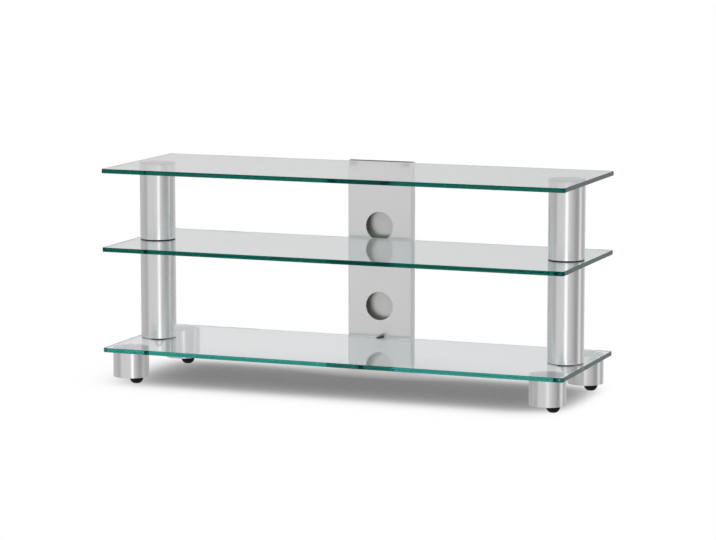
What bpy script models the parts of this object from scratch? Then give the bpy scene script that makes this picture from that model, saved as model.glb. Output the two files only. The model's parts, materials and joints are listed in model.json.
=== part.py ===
"""Glass TV stand: three panes on two clamped tube columns, four tube feet and a rear cable duct.

Metres, +Z up. The origin is on the floor, under the middle of the stand's box.
"""

import math

import bmesh
import bpy

# Glass panes
SHELF_WIDTH = 1.100
SHELF_DEPTH = 0.380
GLASS = 0.010
SHELF_CORNER_RADIUS = 0.006
SHELF_EDGE_ROUND = 0.001

# Clear heights between the panes
UPPER_BAY = 0.170
LOWER_BAY = 0.222

# Columns and feet are lengths of one aluminium tube
TUBE_DIAMETER = 0.082
TUBE_WALL = 0.003
TUBE_END_CHAMFER = 0.0005
COLUMN_INSET = 0.053  # column axis to the end of a shelf

# Rubber rings between tube ends and glass
GASKET = 0.001
GASKET_SETBACK = 0.0005  # how far the ring lies inside the tube's outer face

# Threaded rod through each column, and what it draws together
ROD_DIAMETER = 0.010
ROD_GLASS_CLEARANCE = 0.002
ROD_GRIP = 0.018  # rod inside the top disc's boss
PLUG_LENGTH = 0.012
DISC_THICKNESS = 0.005
BOSS_DIAMETER = 0.024
BOSS_LENGTH = 0.020
RUBBER_WASHER_DIAMETER = 0.040
RUBBER_WASHER = 0.003
STEEL_WASHER_DIAMETER = 0.034
STEEL_WASHER = 0.0025
NUT_ACROSS_FLATS = 0.017
NUT_HEIGHT = 0.016
NUT_CLOSED_END = 0.004
NUT_EDGE_ROUND = 0.001
NUT_SIDES = 6

# Feet
FOOT_LENGTH = 0.0585
FOOT_INSET_X = 0.049  # foot axis to the end of the shelf
FOOT_INSET_Y = 0.047  # foot axis to the front or rear edge
FOOT_LEDGE = 0.004  # thickness of the ring inside the sleeve that the hub pulls on
FOOT_LEDGE_REACH = 0.009  # how far that ring stands in from the tube's bore
HUB_RECESS = 0.002
HUB_THICKNESS = 0.014
FOOT_PLATE = 0.004
FOOT_BOSS_DIAMETER = 0.020
FOOT_BOSS_LENGTH = 0.018
FOOT_SCREW_DIAMETER = 0.008
FOOT_SCREW_HEAD_DIAMETER = 0.013
FOOT_SCREW_HEAD = 0.008
FOOT_SCREW_GRIP = 0.014  # screw inside the plate's boss

# Levelling glides
GLIDE_DROP = 0.0165  # height of the sleeve's lower end above the floor
GLIDE_DIAMETER = 0.032
GLIDE_TIP_DIAMETER = 0.009
GLIDE_RIM = 0.003
GLIDE_OFFSET = 0.013  # glide axis to foot axis, towards the right
GLIDE_STUD_DIAMETER = 0.008
GLIDE_STUD_SPARE = 0.012  # stud above the hub when the glide is screwed home

# Cable duct behind the shelves
DUCT_WIDTH = 0.160
DUCT_DEPTH = 0.025
DUCT_WALL = 0.0015
DUCT_CORNER_RADIUS = 0.007
DUCT_REAR_RADIUS = 0.0025
DUCT_SHIFT = -0.0175  # duct centre from the stand's centre
DUCT_CLEARANCE = 0.005  # duct's lower end above the floor
DUCT_LIP = 0.010  # rear lips, and the ribs inside them, from the duct's side
CABLE_HOLE_DIAMETER = 0.067
UPPER_HOLE_RISE = 0.028  # hole centre above the middle shelf
LOWER_HOLE_RISE = 0.0715  # hole centre above the bottom shelf
TIE_SLOT_WIDTH = 0.0025
TIE_SLOT_LENGTH = 0.011
TIE_SLOT_DROP = 0.022  # slot centre below the bottom shelf
COVER = 0.0015
COVER_STOP = 0.004
COVER_CORNER_RADIUS = 0.003
PAD = 0.002
BUFFER_LENGTH = 0.018
BUFFER_INSET = 0.016  # middle of a buffer to the duct's side
BUFFER_DROP = 0.010  # how far a buffer reaches down below the top shelf
BOND_LENGTH = 0.120
PAD_EDGE_MARGIN = 0.0015

# Spring clip at the rear edge of the bottom shelf
CLIP_WIDTH = 0.010
CLIP_THICKNESS = 0.0012
CLIP_REACH = 0.022
CLIP_SHIFT = 0.006  # clip from the duct's middle, towards the right
CLIP_SCREW_DIAMETER = 0.004
CLIP_SCREW_HEAD_DIAMETER = 0.008
CLIP_SCREW_HEAD = 0.002

# Gaps between pieces that touch, and clearances of pieces that fit in one another
TOUCH = 0.0003
SLIP = 0.0003

# Facets of a full turn
TUBE_STEPS = 32
HIDDEN_STEPS = 16
SMALL_STEPS = 12
GLIDE_STEPS = 24
DOME_STEPS = 5
CORNER_STEPS = 4

# How meshes are welded and shaded, how long a through cutter is, and how large a marker shows
WELD = 1e-6
TURN_WELD = 1e-5
SHARP_DEGREES = 35
CUTTER_LENGTHS = 3  # cutter length, in thicknesses of what it goes through
MARKER_SIZE = 0.02

TUBE_RADIUS = TUBE_DIAMETER / 2
BORE_RADIUS = TUBE_RADIUS - TUBE_WALL
FITTED_RADIUS = BORE_RADIUS - SLIP
ROD_RADIUS = ROD_DIAMETER / 2

# Levels, from the floor up
FOOT_LOW = GLIDE_DROP
FOOT_TOP = FOOT_LOW + FOOT_LENGTH
BOTTOM_SHELF_LOW = FOOT_TOP + TOUCH
BOTTOM_SHELF_TOP = BOTTOM_SHELF_LOW + GLASS
MIDDLE_SHELF_LOW = BOTTOM_SHELF_TOP + LOWER_BAY
MIDDLE_SHELF_TOP = MIDDLE_SHELF_LOW + GLASS
TOP_SHELF_LOW = MIDDLE_SHELF_TOP + UPPER_BAY
TOP_SHELF_TOP = TOP_SHELF_LOW + GLASS
HUB_LOW = FOOT_LOW + HUB_RECESS
HUB_TOP = HUB_LOW + HUB_THICKNESS

# Places in plan
DUCT_GAP = PAD + 2 * TOUCH
SHELF_Y = -(DUCT_GAP + DUCT_DEPTH) / 2
SHELF_REAR_Y = SHELF_Y + SHELF_DEPTH / 2
DUCT_FRONT_Y = SHELF_REAR_Y + DUCT_GAP
COLUMN_X = SHELF_WIDTH / 2 - COLUMN_INSET
FOOT_X = SHELF_WIDTH / 2 - FOOT_INSET_X
FOOT_Y = SHELF_DEPTH / 2 - FOOT_INSET_Y


def clear_scene():
    for obj in list(bpy.data.objects):
        bpy.data.objects.remove(obj, do_unlink=True)


def new_collection(name):
    collection = bpy.data.collections.new(name)
    bpy.context.scene.collection.children.link(collection)
    return collection


def finish(name, colour, roughness, metallic=0.0, transmission=0.0):
    material = bpy.data.materials.new(name)
    material.use_nodes = True
    shader = material.node_tree.nodes["Principled BSDF"]
    shader.inputs["Base Color"].default_value = (*colour, 1.0)
    shader.inputs["Roughness"].default_value = roughness
    shader.inputs["Metallic"].default_value = metallic
    shader.inputs["Transmission Weight"].default_value = transmission
    material.diffuse_color = (*colour, 1.0)
    return material


def empty(name, place, parent=None):
    marker = bpy.data.objects.new(name, None)
    marker.empty_display_size = MARKER_SIZE
    marker.location = place
    marker.parent = parent
    PARTS.objects.link(marker)
    return marker


def add(name, mesh, material, parent, place=(0, 0, 0), turn=(0, 0, 0)):
    obj = bpy.data.objects.new(name, mesh)
    obj.location = place
    obj.rotation_euler = turn
    obj.parent = parent
    PARTS.objects.link(obj)
    mesh.materials.clear()
    mesh.materials.append(material)
    return obj


def evaluated_mesh(obj):
    """The object's shape with its modifiers as a plain mesh; the object itself goes."""
    bpy.context.scene.collection.objects.link(obj)
    bpy.context.view_layer.update()
    graph = bpy.context.evaluated_depsgraph_get()
    mesh = bpy.data.meshes.new_from_object(obj.evaluated_get(graph))
    bpy.data.objects.remove(obj, do_unlink=True)
    work = bmesh.new()
    work.from_mesh(mesh)
    bmesh.ops.remove_doubles(work, verts=work.verts, dist=WELD)
    work.to_mesh(mesh)
    work.free()
    mesh.shade_smooth()
    mesh.set_sharp_from_angle(angle=math.radians(SHARP_DEGREES))
    return mesh


def turned_mesh(name, profile, steps):
    """Turns (radius, height) points about Z; a profile that leaves the axis clear is a ring."""
    points = [(radius, 0.0, height) for radius, height in profile]
    edges = [(i, i + 1) for i in range(len(points) - 1)]
    if all(radius > 0 for radius, height in profile):
        edges.append((len(points) - 1, 0))
    mesh = bpy.data.meshes.new(name)
    mesh.from_pydata(points, edges, [])
    obj = bpy.data.objects.new(name, mesh)
    screw = obj.modifiers.new("Turn", "SCREW")
    screw.axis = "Z"
    screw.steps = steps
    screw.render_steps = steps
    screw.use_merge_vertices = True
    screw.merge_threshold = TURN_WELD
    return evaluated_mesh(obj)


def ring_profile(outer, inner, low, high):
    return [(outer, high), (outer, low), (inner, low), (inner, high)]


def arc(centre_x, centre_y, radius, start_degrees, steps=CORNER_STEPS):
    """Points on a quarter circle, anticlockwise from its start."""
    angles = [math.radians(start_degrees + 90 * i / steps) for i in range(steps + 1)]
    return [(centre_x + radius * math.cos(a), centre_y + radius * math.sin(a)) for a in angles]


def rounded_outline(width, depth, radius):
    x = width / 2 - radius
    y = depth / 2 - radius
    corners = ((x, y, 0), (-x, y, 90), (-x, -y, 180), (x, -y, 270))
    return [point for cx, cy, start in corners for point in arc(cx, cy, radius, start)]


def extruded_mesh(name, outline, thickness, edge_round=0.0):
    """A flat outline given its thickness, half above and half below its plane."""
    curve = bpy.data.curves.new(name, "CURVE")
    curve.dimensions = "2D"
    curve.fill_mode = "BOTH"
    curve.extrude = thickness / 2 - edge_round
    curve.bevel_depth = edge_round
    curve.bevel_resolution = 0
    curve.offset = -edge_round
    spline = curve.splines.new("POLY")
    spline.points.add(len(outline) - 1)
    for point, (x, y) in zip(spline.points, outline):
        point.co = (x, y, 0.0, 1.0)
    spline.use_cyclic_u = True
    return evaluated_mesh(bpy.data.objects.new(name, curve))


def drum_mesh(name, radius, length, steps):
    work = bmesh.new()
    bmesh.ops.create_cone(
        work, cap_ends=True, segments=steps, radius1=radius, radius2=radius, depth=length
    )
    mesh = bpy.data.meshes.new(name)
    work.to_mesh(mesh)
    work.free()
    return mesh


def block_mesh(name, size):
    work = bmesh.new()
    bmesh.ops.create_cube(work, size=1.0)
    bmesh.ops.scale(work, vec=size, verts=work.verts)
    mesh = bpy.data.meshes.new(name)
    work.to_mesh(mesh)
    work.free()
    return mesh


def cut(obj, name, mesh, place, turn=(0, 0, 0)):
    """Cuts the mesh out of the object, from a place in the object's parent's space."""
    cutter = bpy.data.objects.new(name, mesh)
    cutter.location = place
    cutter.rotation_euler = turn
    cutter.parent = obj.parent
    cutter.hide_render = True
    cutter.display_type = "WIRE"
    CUTTERS.objects.link(cutter)
    boolean = obj.modifiers.new(name, "BOOLEAN")
    boolean.operation = "DIFFERENCE"
    boolean.solver = "EXACT"
    boolean.object = cutter


def build_shelf(name, low, drilled):
    outline = rounded_outline(SHELF_WIDTH, SHELF_DEPTH, SHELF_CORNER_RADIUS)
    mesh = extruded_mesh(name, outline, GLASS, SHELF_EDGE_ROUND)
    shelf = add(name, mesh, CLEAR_GLASS, STAND, (0, 0, low + GLASS / 2))
    if not drilled:
        return
    hole_radius = ROD_RADIUS + ROD_GLASS_CLEARANCE
    for side, x in (("left", -COLUMN_X), ("right", COLUMN_X)):
        drill = drum_mesh(name, hole_radius, CUTTER_LENGTHS * GLASS, HIDDEN_STEPS)
        cut(shelf, f"{name}_{side}_hole", drill, (x, 0, low + GLASS / 2))


def tube_profile(low, high):
    return [
        (TUBE_RADIUS - TUBE_END_CHAMFER, high),
        (TUBE_RADIUS, high - TUBE_END_CHAMFER),
        (TUBE_RADIUS, low + TUBE_END_CHAMFER),
        (TUBE_RADIUS - TUBE_END_CHAMFER, low),
        (BORE_RADIUS, low),
        (BORE_RADIUS, high),
    ]


def boss_profile(top, thickness, boss_radius, boss_length, bore_radius, bore_depth):
    """A bonded disc with a boss below it and a blind hole up the boss."""
    boss_low = top - thickness - boss_length
    return [
        (0, top),
        (FITTED_RADIUS, top),
        (FITTED_RADIUS, top - thickness),
        (boss_radius, top - thickness),
        (boss_radius, boss_low),
        (bore_radius, boss_low),
        (bore_radius, boss_low + bore_depth),
        (0, boss_low + bore_depth),
    ]


def build_post(name, column, shelf_top, shelf_above):
    """One tube between two panes, with a gasket at each end."""
    gasket_reach = TOUCH + GASKET
    low = shelf_top + gasket_reach + TOUCH
    high = shelf_above - gasket_reach - TOUCH
    add(name, turned_mesh(name, tube_profile(low, high), TUBE_STEPS), SATIN_ALUMINIUM, column)
    outer = TUBE_RADIUS - GASKET_SETBACK
    for end, ring_low in (("bottom", shelf_top + TOUCH), ("top", shelf_above - gasket_reach)):
        ring_name = f"{name}_{end}_gasket"
        profile = ring_profile(outer, BORE_RADIUS, ring_low, ring_low + GASKET)
        add(ring_name, turned_mesh(ring_name, profile, TUBE_STEPS), BLACK_RUBBER, column)


def build_plug(name, column, low):
    profile = ring_profile(FITTED_RADIUS, ROD_RADIUS + SLIP, low, low + PLUG_LENGTH)
    add(name, turned_mesh(name, profile, HIDDEN_STEPS), BLACK_PLASTIC, column)


def build_cap_nut(name, column, top, thread_depth):
    """A hexagon nut, closed below, that takes the rod's lower end."""
    corner_radius = NUT_ACROSS_FLATS / 2 / math.cos(math.pi / NUT_SIDES)
    mesh = drum_mesh(name, corner_radius, NUT_HEIGHT, NUT_SIDES)
    nut = add(name, mesh, ZINC_STEEL, column, (0, 0, top - NUT_HEIGHT / 2))
    rounding = nut.modifiers.new("Rounded edges", "BEVEL")
    rounding.width = NUT_EDGE_ROUND
    rounding.segments = 1
    above = NUT_HEIGHT
    bore = drum_mesh(name, ROD_RADIUS + SLIP, thread_depth + above, SMALL_STEPS)
    cut(nut, f"{name}_thread", bore, (0, 0, top - thread_depth + (thread_depth + above) / 2))


def build_column(side, x):
    column = empty(f"{side}_column", (x, 0, 0), STAND)
    disc_top = TOP_SHELF_LOW - TOUCH
    build_post(f"{side}_upper_post", column, MIDDLE_SHELF_TOP, TOP_SHELF_LOW)
    build_post(f"{side}_lower_post", column, BOTTOM_SHELF_TOP, MIDDLE_SHELF_LOW)

    name = f"{side}_top_disc"
    thread_depth = ROD_GRIP + TOUCH
    profile = boss_profile(
        disc_top, DISC_THICKNESS, BOSS_DIAMETER / 2, BOSS_LENGTH, ROD_RADIUS + SLIP, thread_depth
    )
    add(name, turned_mesh(name, profile, HIDDEN_STEPS), ZINC_STEEL, column)

    build_plug(f"{side}_upper_post_bottom_plug", column, MIDDLE_SHELF_TOP + TOUCH)
    build_plug(f"{side}_lower_post_top_plug", column, MIDDLE_SHELF_LOW - TOUCH - PLUG_LENGTH)
    build_plug(f"{side}_lower_post_bottom_plug", column, BOTTOM_SHELF_TOP + TOUCH)

    level = BOTTOM_SHELF_LOW
    washers = (
        ("rubber_washer", RUBBER_WASHER_DIAMETER, RUBBER_WASHER, BLACK_RUBBER),
        ("steel_washer", STEEL_WASHER_DIAMETER, STEEL_WASHER, ZINC_STEEL),
    )
    for kind, diameter, thickness, material in washers:
        name = f"{side}_{kind}"
        level -= TOUCH + thickness
        profile = ring_profile(diameter / 2, ROD_RADIUS + SLIP, level, level + thickness)
        add(name, turned_mesh(name, profile, HIDDEN_STEPS), material, column)

    nut_top = level - TOUCH
    thread_in_nut = NUT_HEIGHT - NUT_CLOSED_END
    build_cap_nut(f"{side}_cap_nut", column, nut_top, thread_in_nut)

    name = f"{side}_tie_rod"
    rod_low = nut_top - thread_in_nut + TOUCH
    rod_high = disc_top - DISC_THICKNESS - BOSS_LENGTH + ROD_GRIP
    profile = [(0, rod_high), (ROD_RADIUS, rod_high), (ROD_RADIUS, rod_low), (0, rod_low)]
    add(name, turned_mesh(name, profile, SMALL_STEPS), ZINC_STEEL, column)


def sleeve_profile():
    """The foot's tube, with a ring inside that rests on the hub."""
    ledge_low = HUB_TOP + TOUCH
    ledge_high = ledge_low + FOOT_LEDGE
    ledge_radius = BORE_RADIUS - FOOT_LEDGE_REACH
    outside = tube_profile(FOOT_LOW, FOOT_TOP)
    inside = [
        (BORE_RADIUS, ledge_low),
        (ledge_radius, ledge_low),
        (ledge_radius, ledge_high),
        (BORE_RADIUS, ledge_high),
    ]
    return outside[:-1] + inside + outside[-1:]


def hub_profile():
    """The plug under the ledge, stepped for the head of its screw."""
    head_radius = FOOT_SCREW_HEAD_DIAMETER / 2 + SLIP
    shank_radius = FOOT_SCREW_DIAMETER / 2 + SLIP
    step = HUB_LOW + FOOT_SCREW_HEAD + TOUCH
    return [
        (FITTED_RADIUS, HUB_TOP),
        (FITTED_RADIUS, HUB_LOW),
        (head_radius, HUB_LOW),
        (head_radius, step),
        (shank_radius, step),
        (shank_radius, HUB_TOP),
    ]


def screw_profile(head_radius, head_low, head_high, shank_radius, tip):
    return [
        (0, tip),
        (shank_radius, tip),
        (shank_radius, head_high),
        (head_radius, head_high),
        (head_radius, head_low),
        (0, head_low),
    ]


def glide_profile():
    """Stud, rim and dome, ending in a flat tip on the floor."""
    radius = GLIDE_DIAMETER / 2
    tip = GLIDE_TIP_DIAMETER / 2
    stud = GLIDE_STUD_DIAMETER / 2
    stud_top = HUB_TOP + GLIDE_STUD_SPARE
    rim_top = HUB_LOW - TOUCH
    dome_top = rim_top - GLIDE_RIM
    turns = [math.pi / 2 * i / DOME_STEPS for i in range(DOME_STEPS + 1)]
    dome = [
        (tip + (radius - tip) * math.cos(turn), dome_top * (1 - math.sin(turn))) for turn in turns
    ]
    return [(0, stud_top), (stud, stud_top), (stud, rim_top), (radius, rim_top)] + dome + [(0, 0)]


def build_foot(corner, x, y):
    foot = empty(f"{corner}_foot", (x, y, 0), STAND)

    name = f"{corner}_foot_sleeve"
    add(name, turned_mesh(name, sleeve_profile(), TUBE_STEPS), SATIN_ALUMINIUM, foot)

    name = f"{corner}_foot_plate"
    plate_top = BOTTOM_SHELF_LOW - TOUCH
    screw_radius = FOOT_SCREW_DIAMETER / 2
    profile = boss_profile(
        plate_top,
        FOOT_PLATE,
        FOOT_BOSS_DIAMETER / 2,
        FOOT_BOSS_LENGTH,
        screw_radius + SLIP,
        FOOT_SCREW_GRIP + TOUCH,
    )
    add(name, turned_mesh(name, profile, HIDDEN_STEPS), ZINC_STEEL, foot)

    name = f"{corner}_foot_hub"
    hub = add(name, turned_mesh(name, hub_profile(), HIDDEN_STEPS), BLACK_PLASTIC, foot)
    stud_hole_radius = GLIDE_STUD_DIAMETER / 2 + SLIP
    stud_hole = drum_mesh(name, stud_hole_radius, CUTTER_LENGTHS * HUB_THICKNESS, HIDDEN_STEPS)
    cut(hub, f"{corner}_stud_hole", stud_hole, (GLIDE_OFFSET, 0, (HUB_LOW + HUB_TOP) / 2))

    name = f"{corner}_foot_screw"
    screw_tip = plate_top - FOOT_PLATE - FOOT_BOSS_LENGTH + FOOT_SCREW_GRIP
    profile = screw_profile(
        FOOT_SCREW_HEAD_DIAMETER / 2, HUB_LOW, HUB_LOW + FOOT_SCREW_HEAD, screw_radius, screw_tip
    )
    add(name, turned_mesh(name, profile, SMALL_STEPS), ZINC_STEEL, foot)

    axis = empty(f"{corner}_glide_axis", (GLIDE_OFFSET, 0, 0), foot)
    name = f"{corner}_glide"
    add(name, turned_mesh(name, glide_profile(), GLIDE_STEPS), BLACK_PLASTIC, axis)


def channel_half():
    """Right half of the duct's section, from the middle of its front face to the middle inside."""
    half = DUCT_WIDTH / 2
    inner = half - DUCT_WALL
    front_radius = DUCT_CORNER_RADIUS
    inside_radius = DUCT_CORNER_RADIUS - DUCT_WALL
    lip = half - DUCT_LIP
    lip_inside = DUCT_DEPTH - DUCT_WALL
    groove = COVER + 2 * SLIP
    rib_rear = lip_inside - groove
    rib_front = rib_rear - DUCT_WALL
    front_corner = arc(half - front_radius, front_radius, front_radius, 270)
    rear_corner = arc(half - DUCT_REAR_RADIUS, DUCT_DEPTH - DUCT_REAR_RADIUS, DUCT_REAR_RADIUS, 0)
    inside_corner = arc(half - front_radius, front_radius, inside_radius, 270)
    groove_and_rib = [
        (lip, DUCT_DEPTH),
        (lip, lip_inside),
        (inner, lip_inside),
        (inner, rib_rear),
        (lip, rib_rear),
        (lip, rib_front),
        (inner, rib_front),
    ]
    return front_corner + rear_corner + groove_and_rib + inside_corner[::-1]


def build_duct():
    duct = empty("duct", (DUCT_SHIFT, DUCT_FRONT_Y - SHELF_Y, 0), STAND)
    length = TOP_SHELF_TOP - DUCT_CLEARANCE
    middle = (TOP_SHELF_TOP + DUCT_CLEARANCE) / 2
    upright = (math.pi / 2, 0, 0)

    right = channel_half()
    left = [(-x, y) for x, y in reversed(right)]
    mesh = extruded_mesh("cable_duct", right + left, length)
    channel = add("cable_duct", mesh, SILVER_PAINT, duct, (0, 0, middle))
    holes = (
        ("upper", MIDDLE_SHELF_TOP + UPPER_HOLE_RISE),
        ("lower", BOTTOM_SHELF_TOP + LOWER_HOLE_RISE),
    )
    for level, height in holes:
        name = f"{level}_cable_hole"
        drill = drum_mesh(name, CABLE_HOLE_DIAMETER / 2, DUCT_DEPTH, TUBE_STEPS)
        cut(channel, name, drill, (0, 0, height), upright)
    slot = block_mesh("tie_slot", (TIE_SLOT_WIDTH, CUTTER_LENGTHS * DUCT_WALL, TIE_SLOT_LENGTH))
    cut(channel, "tie_slot", slot, (0, 0, BOTTOM_SHELF_LOW - TIE_SLOT_DROP))

    cover_low = DUCT_CLEARANCE + COVER_STOP + TOUCH
    cover_y = DUCT_DEPTH - DUCT_WALL - SLIP - COVER / 2
    inside_width = DUCT_WIDTH - 2 * DUCT_WALL
    rail = empty("cover_slide_axis", (0, cover_y, 0), duct)
    height = TOP_SHELF_TOP - cover_low
    outline = rounded_outline(inside_width - 2 * SLIP, height, COVER_CORNER_RADIUS)
    mesh = extruded_mesh("duct_cover", outline, COVER)
    add("duct_cover", mesh, SILVER_PAINT, rail, (0, 0, cover_low + height / 2), upright)

    size = (inside_width - 2 * TOUCH, COVER, COVER_STOP)
    stop_place = (0, cover_y, DUCT_CLEARANCE + COVER_STOP / 2)
    add("cover_stop", block_mesh("cover_stop", size), SILVER_PAINT, duct, stop_place)

    pad_y = -TOUCH - PAD / 2
    pad_height = GLASS - 2 * PAD_EDGE_MARGIN
    buffer_x = DUCT_WIDTH / 2 - BUFFER_INSET
    pads = (
        ("left_buffer", -buffer_x, TOP_SHELF_LOW, BUFFER_DROP, BUFFER_LENGTH, BLACK_RUBBER),
        ("right_buffer", buffer_x, TOP_SHELF_LOW, BUFFER_DROP, BUFFER_LENGTH, BLACK_RUBBER),
        ("bond", 0, MIDDLE_SHELF_LOW, 0, BOND_LENGTH, CLEAR_PAD),
    )
    for kind, x, low, drop, pad_length, material in pads:
        name = f"duct_{kind}"
        mesh = block_mesh(name, (pad_length, PAD, pad_height + drop))
        add(name, mesh, material, duct, (x, pad_y, low + (GLASS - drop) / 2))
    build_clip(duct, channel)


def build_clip(duct, channel):
    """A spring clip round the bottom pane's rear edge, screwed on from inside the duct."""
    web_rear = -TOUCH
    web_front = web_rear - PAD
    tip = -DUCT_GAP - CLIP_REACH
    inner = GLASS / 2 + TOUCH
    outer = inner + CLIP_THICKNESS
    outline = [
        (web_rear, outer),
        (tip, outer),
        (tip, inner),
        (web_front, inner),
        (web_front, -inner),
        (tip, -inner),
        (tip, -outer),
        (web_rear, -outer),
    ]
    height = (BOTTOM_SHELF_LOW + BOTTOM_SHELF_TOP) / 2
    mesh = extruded_mesh("duct_clip", outline, CLIP_WIDTH)
    on_edge = (math.pi / 2, 0, math.pi / 2)
    clip = add("duct_clip", mesh, DARK_STEEL, duct, (CLIP_SHIFT, 0, height), on_edge)

    shank = CLIP_SCREW_DIAMETER / 2
    upright = (math.pi / 2, 0, 0)
    drill_length = CUTTER_LENGTHS * (PAD + DUCT_WALL)
    for piece in (clip, channel):
        drill = drum_mesh("clip_screw_hole", shank + SLIP, drill_length, SMALL_STEPS)
        cut(piece, f"{piece.name}_screw_hole", drill, (CLIP_SHIFT, 0, height), upright)

    head_low = DUCT_WALL + TOUCH
    profile = screw_profile(
        CLIP_SCREW_HEAD_DIAMETER / 2, -head_low - CLIP_SCREW_HEAD, -head_low, shank, -web_front
    )
    mesh = turned_mesh("clip_screw", profile, SMALL_STEPS)
    add("clip_screw", mesh, DARK_STEEL, duct, (CLIP_SHIFT, 0, height), upright)


clear_scene()
PARTS = new_collection("tv_stand")
CUTTERS = new_collection("tv_stand_cutters")

CLEAR_GLASS = finish("clear_glass", (0.80, 0.90, 0.86), 0.02, transmission=1.0)
SATIN_ALUMINIUM = finish("satin_aluminium", (0.68, 0.68, 0.69), 0.32, metallic=1.0)
SILVER_PAINT = finish("silver_paint", (0.56, 0.56, 0.57), 0.45, metallic=0.4)
ZINC_STEEL = finish("zinc_steel", (0.60, 0.60, 0.58), 0.35, metallic=1.0)
DARK_STEEL = finish("dark_steel", (0.06, 0.06, 0.06), 0.40, metallic=1.0)
BLACK_RUBBER = finish("black_rubber", (0.03, 0.03, 0.03), 0.70)
BLACK_PLASTIC = finish("black_plastic", (0.015, 0.015, 0.016), 0.45)
CLEAR_PAD = finish("clear_pad", (0.75, 0.77, 0.76), 0.60)

STAND = empty("stand", (0, SHELF_Y, 0))
build_shelf("top_shelf", TOP_SHELF_LOW, drilled=False)
build_shelf("middle_shelf", MIDDLE_SHELF_LOW, drilled=True)
build_shelf("bottom_shelf", BOTTOM_SHELF_LOW, drilled=True)
build_column("left", -COLUMN_X)
build_column("right", COLUMN_X)
for depth_name, foot_y in (("front", -FOOT_Y), ("rear", FOOT_Y)):
    for side_name, foot_x in (("left", -FOOT_X), ("right", FOOT_X)):
        build_foot(f"{depth_name}_{side_name}", foot_x, foot_y)
build_duct()
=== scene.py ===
import bpy
import bmesh
import json
import math
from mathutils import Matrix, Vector


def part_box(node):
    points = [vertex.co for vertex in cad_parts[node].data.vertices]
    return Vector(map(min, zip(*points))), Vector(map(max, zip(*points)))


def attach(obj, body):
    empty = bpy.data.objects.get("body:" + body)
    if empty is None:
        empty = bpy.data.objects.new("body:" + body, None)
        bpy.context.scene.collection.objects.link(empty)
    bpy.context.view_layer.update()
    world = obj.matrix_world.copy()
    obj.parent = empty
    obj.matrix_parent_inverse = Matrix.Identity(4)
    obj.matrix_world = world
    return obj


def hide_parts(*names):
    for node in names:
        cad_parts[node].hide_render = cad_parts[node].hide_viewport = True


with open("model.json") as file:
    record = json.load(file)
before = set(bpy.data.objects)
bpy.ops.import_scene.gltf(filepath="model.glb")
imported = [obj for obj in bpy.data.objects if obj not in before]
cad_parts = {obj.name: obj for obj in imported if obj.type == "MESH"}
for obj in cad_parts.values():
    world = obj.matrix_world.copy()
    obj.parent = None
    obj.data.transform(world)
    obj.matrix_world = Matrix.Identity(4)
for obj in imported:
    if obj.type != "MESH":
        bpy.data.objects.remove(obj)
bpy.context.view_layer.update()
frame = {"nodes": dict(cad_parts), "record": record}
openings = {o["name"]: o["box_m"] for o in frame["record"]["physics"]["openings"]}
columns = ("left", "right")
corners = ("front_left", "front_right", "rear_left", "rear_right")
print("frame loaded,", len(frame["nodes"]), "nodes")


# Small helpers for modelling with operators
modelling = {"mergeGap": 1e-6, "seed": 0.001, "sharpDegrees": 40, "endFacing": 0.9, "drillPast": 3}


def deselectAll():
    bpy.ops.object.select_all(action="DESELECT")


def makeActive(piece):
    deselectAll()
    piece.select_set(True)
    bpy.context.view_layer.objects.active = piece


def editMode():
    bpy.ops.object.mode_set(mode="EDIT")


def objectMode():
    bpy.ops.object.mode_set(mode="OBJECT")


def applyPlace():
    bpy.ops.object.transform_apply(location=True, rotation=True, scale=True)


def named(name):
    piece = bpy.context.object
    piece.name = name
    piece.data.name = name
    return piece


def pick(piece, kind, test):  # selects the verts, edges or faces that pass the test
    bpy.ops.mesh.select_mode(type=kind)
    bpy.ops.mesh.select_all(action="DESELECT")
    mesh = bmesh.from_edit_mesh(piece.data)
    for item in {"VERT": mesh.verts, "EDGE": mesh.edges, "FACE": mesh.faces}[kind]:
        if test(item):
            item.select_set(True)
    bmesh.update_edit_mesh(piece.data)


def runOf(edge, axis):  # how far an edge runs along an axis
    return abs(getattr(edge.verts[0].co, axis) - getattr(edge.verts[1].co, axis))


def cleanUp():  # in edit mode: merges doubles and turns the faces outwards
    bpy.ops.mesh.select_all(action="SELECT")
    bpy.ops.mesh.remove_doubles(threshold=modelling["mergeGap"])
    bpy.ops.mesh.normals_make_consistent(inside=False)


def softenEdges(piece, width, segments=2):  # small rounds on every sharp edge
    makeActive(piece)
    bpy.ops.object.shade_smooth()
    bevel = piece.modifiers.new("edgeRound", "BEVEL")
    bevel.width = width
    bevel.segments = segments
    bevel.limit_method = "ANGLE"
    bevel.angle_limit = math.radians(modelling["sharpDegrees"])
    bevel.harden_normals = True
    bpy.ops.object.modifier_apply(modifier=bevel.name)
    return piece


def smoothSides(piece, sharpDegrees=modelling["sharpDegrees"]):  # smooth but for the sharp edges
    makeActive(piece)
    bpy.ops.object.shade_smooth_by_angle(angle=math.radians(sharpDegrees))
    return piece


def cutWith(piece, cutter, operation="DIFFERENCE"):
    makeActive(piece)
    boolean = piece.modifiers.new("cut", "BOOLEAN")
    boolean.operation = operation
    boolean.solver = "EXACT"
    boolean.object = cutter
    bpy.ops.object.modifier_apply(modifier=boolean.name)
    bpy.data.objects.remove(cutter)
    return piece


def addBlock(name, low, high):
    deselectAll()
    centre = [(a + b) / 2 for a, b in zip(low, high)]
    size = [b - a for a, b in zip(low, high)]
    bpy.ops.mesh.primitive_cube_add(size=1, location=centre)
    bpy.ops.transform.resize(value=size)
    applyPlace()
    return named(name)


def addDrill(centre, radius, length, steps, alongY=False):
    deselectAll()
    turn = (math.pi / 2, 0, 0) if alongY else (0, 0, 0)
    bpy.ops.mesh.primitive_cylinder_add(
        vertices=steps, radius=radius, depth=length, location=centre, rotation=turn)
    applyPlace()
    return named("drill")


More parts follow.
